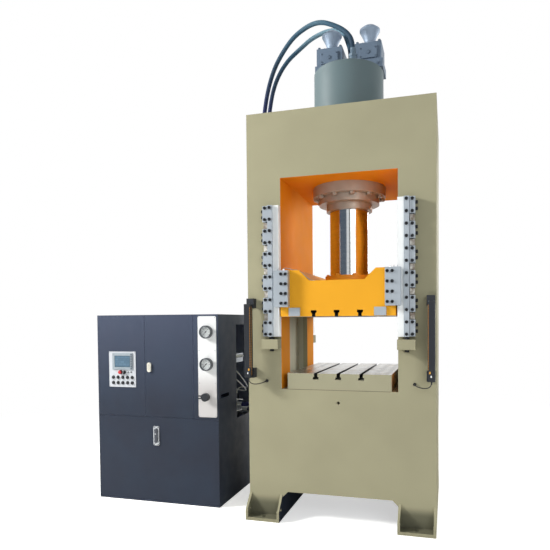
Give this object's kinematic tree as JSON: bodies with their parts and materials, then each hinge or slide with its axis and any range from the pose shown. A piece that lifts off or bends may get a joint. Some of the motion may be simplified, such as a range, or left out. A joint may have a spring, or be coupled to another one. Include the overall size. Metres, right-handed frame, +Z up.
{
  "type": "hydraulic press",
  "caption": "Straight-sided hydraulic press with guided slide, T-slotted bolster, top cylinder, light curtains and a separate power and control cabinet joined by hoses.",
  "frame": {"origin": "on the floor, under the middle of the press frame", "axes": "+X to the right seen from the front, +Y to the back, +Z up; the slide travels along Z"},
  "size_m": [2.973, 1.2525, 4.2142],
  "materials": {
    "frame_enamel": "semi-gloss",
    "window_enamel": "semi-gloss",
    "slide_enamel": "semi-gloss",
    "ground_steel": "satin",
    "cylinder_enamel": "semi-gloss",
    "gland_steel": "satin",
    "valve_enamel": "semi-gloss",
    "bell_casting": "satin",
    "blackened_steel": "satin",
    "hose_rubber": "matt",
    "cable_sheath": "matt",
    "zinc_plated_steel": "satin",
    "rail_steel": "satin",
    "curtain_anodised": "satin",
    "rod_chrome": "polished",
    "guide_bronze": "satin",
    "cabinet_enamel": "textured",
    "machine_grey_enamel": "semi-gloss",
    "motor_enamel": "semi-gloss",
    "galvanised_sheet": "matt",
    "gauge_plate_steel": "satin",
    "gauge_case": "polished",
    "needle_black": "matt",
    "knob_plastic": "matt",
    "control_plate_enamel": "satin",
    "screen_housing": "matt",
    "latch_cream": "semi-gloss",
    "latch_chrome": "polished",
    "signal_red": "gloss",
    "button_black": "gloss"
  },
  "bodies": {
    "press": {"front_plate": "frame_enamel", "rear_plate": "frame_enamel", "inner_walls": "window_enamel", "outer_walls": "frame_enamel", "crown_beam": "frame_enamel", "bed_beam": "frame_enamel", "foot_brackets": "frame_enamel", "bolster": "ground_steel", "cylinder_barrel": "cylinder_enamel", "gland_rings": "gland_steel", "prefill_blocks": "valve_enamel", "suction_bells": "bell_casting", "frame_bolts": "blackened_steel", "pressure_hose": "hose_rubber", "return_hose": "hose_rubber", "line_fittings": "zinc_plated_steel", "guide_rails": "rail_steel", "rail_keepers": "rail_steel", "rail_ledges": "frame_enamel", "light_curtains": "curtain_anodised", "curtain_brackets": "blackened_steel", "curtain_cable_left": "cable_sheath", "curtain_cable_right": "cable_sheath", "cabinet_shell": "cabinet_enamel", "gauge_plate": "gauge_plate_steel", "gauge_cases": "gauge_case", "oil_tank": "machine_grey_enamel", "pump_motor": "motor_enamel", "valve_manifold": "ground_steel", "electrical_panel": "galvanised_sheet", "hinge_pins": "zinc_plated_steel"},
    "ram": {"slide": "slide_enamel", "guide_plates": "rail_steel", "slide_liners": "guide_bronze", "slide_bolts": "blackened_steel", "piston_rod": "rod_chrome", "rod_flange": "gland_steel"},
    "control_door": {"control_door": "cabinet_enamel", "control_plate": "control_plate_enamel", "touch_screen": "screen_housing"},
    "main_door": {"main_door": "cabinet_enamel"},
    "lower_panel": {"lower_panel": "cabinet_enamel", "latch_plate": "latch_chrome"},
    "upper_latch": {"upper_latch": "latch_cream"},
    "lower_latch": {"lower_latch": "latch_chrome"},
    "upper_needle": {"needle_upper": "needle_black"},
    "lower_needle": {"needle_lower": "needle_black"},
    "pressure_knob": {"pressure_knob": "knob_plastic"},
    "estop_button": {"estop_button": "signal_red"},
    "mode_selector": {"mode_selector": "button_black"},
    "button_1": {"button_1": "button_black"},
    "button_2": {"button_2": "button_black"},
    "button_3": {"button_3": "button_black"},
    "button_4": {"button_4": "button_black"},
    "button_5": {"button_5": "button_black"},
    "button_6": {"button_6": "button_black"},
    "button_7": {"button_7": "button_black"},
    "button_8": {"button_8": "button_black"},
    "button_9": {"button_9": "button_black"},
    "button_10": {"button_10": "button_black"}
  },
  "joints": [
    {"name": "slide_stroke", "type": "slide", "parent": "press", "child": "ram", "axis": [0, 0, 1], "range_m": [-0.23, 0.5]},
    {"name": "control_door_hinge", "type": "hinge", "parent": "press", "child": "control_door", "pos_m": [-2.218, -0.414, 1.2], "axis": [0, 0, -1], "range_deg": [0, 110]},
    {"name": "main_door_hinge", "type": "hinge", "parent": "press", "child": "main_door", "pos_m": [-1.295, -0.414, 1.2], "axis": [0, 0, 1], "range_deg": [0, 110]},
    {"name": "lower_panel_hinge", "type": "hinge", "parent": "press", "child": "lower_panel", "pos_m": [-1.643, -0.414, 0.02], "axis": [1, 0, 0], "range_deg": [0, 84]},
    {"name": "upper_latch_turn", "type": "hinge", "parent": "main_door", "child": "upper_latch", "pos_m": [-1.708, -0.422, 1.191], "axis": [0, 1, 0], "range_deg": [0, 90]},
    {"name": "lower_latch_turn", "type": "hinge", "parent": "lower_panel", "child": "lower_latch", "pos_m": [-1.649, -0.427, 0.607], "axis": [0, 1, 0], "range_deg": [0, 90]},
    {"name": "upper_needle_turn", "type": "hinge", "parent": "press", "child": "upper_needle", "pos_m": [-1.152, -0.45, 1.5], "axis": [0, 1, 0], "range_deg": [0, 270], "stiffness_Nm_per_rad": 0.004},
    {"name": "lower_needle_turn", "type": "hinge", "parent": "press", "child": "lower_needle", "pos_m": [-1.152, -0.45, 1.225], "axis": [0, 1, 0], "range_deg": [0, 270], "stiffness_Nm_per_rad": 0.004},
    {"name": "pressure_knob_turn", "type": "hinge", "parent": "press", "child": "pressure_knob", "pos_m": [-1.152, -0.426, 0.949], "axis": [0, 1, 0], "continuous": true},
    {"name": "estop_press", "type": "slide", "parent": "control_door", "child": "estop_button", "axis": [0, 1, 0], "range_m": [0, 0.006]},
    {"name": "mode_select", "type": "hinge", "parent": "control_door", "child": "mode_selector", "pos_m": [-1.955, -0.425, 1.143], "axis": [0, 1, 0], "range_deg": [-45, 45]},
    {"name": "button_1_press", "type": "slide", "parent": "control_door", "child": "button_1", "axis": [0, 1, 0], "range_m": [0, 0.004], "stiffness_N_per_m": 500},
    {"name": "button_2_press", "type": "slide", "parent": "control_door", "child": "button_2", "axis": [0, 1, 0], "range_m": [0, 0.004], "stiffness_N_per_m": 500},
    {"name": "button_3_press", "type": "slide", "parent": "control_door", "child": "button_3", "axis": [0, 1, 0], "range_m": [0, 0.004], "stiffness_N_per_m": 500},
    {"name": "button_4_press", "type": "slide", "parent": "control_door", "child": "button_4", "axis": [0, 1, 0], "range_m": [0, 0.004], "stiffness_N_per_m": 500},
    {"name": "button_5_press", "type": "slide", "parent": "control_door", "child": "button_5", "axis": [0, 1, 0], "range_m": [0, 0.004], "stiffness_N_per_m": 500},
    {"name": "button_6_press", "type": "slide", "parent": "control_door", "child": "button_6", "axis": [0, 1, 0], "range_m": [0, 0.004], "stiffness_N_per_m": 500},
    {"name": "button_7_press", "type": "slide", "parent": "control_door", "child": "button_7", "axis": [0, 1, 0], "range_m": [0, 0.004], "stiffness_N_per_m": 500},
    {"name": "button_8_press", "type": "slide", "parent": "control_door", "child": "button_8", "axis": [0, 1, 0], "range_m": [0, 0.004], "stiffness_N_per_m": 500},
    {"name": "button_9_press", "type": "slide", "parent": "control_door", "child": "button_9", "axis": [0, 1, 0], "range_m": [0, 0.004], "stiffness_N_per_m": 500},
    {"name": "button_10_press", "type": "slide", "parent": "control_door", "child": "button_10", "axis": [0, 1, 0], "range_m": [0, 0.004], "stiffness_N_per_m": 500}
  ]
}
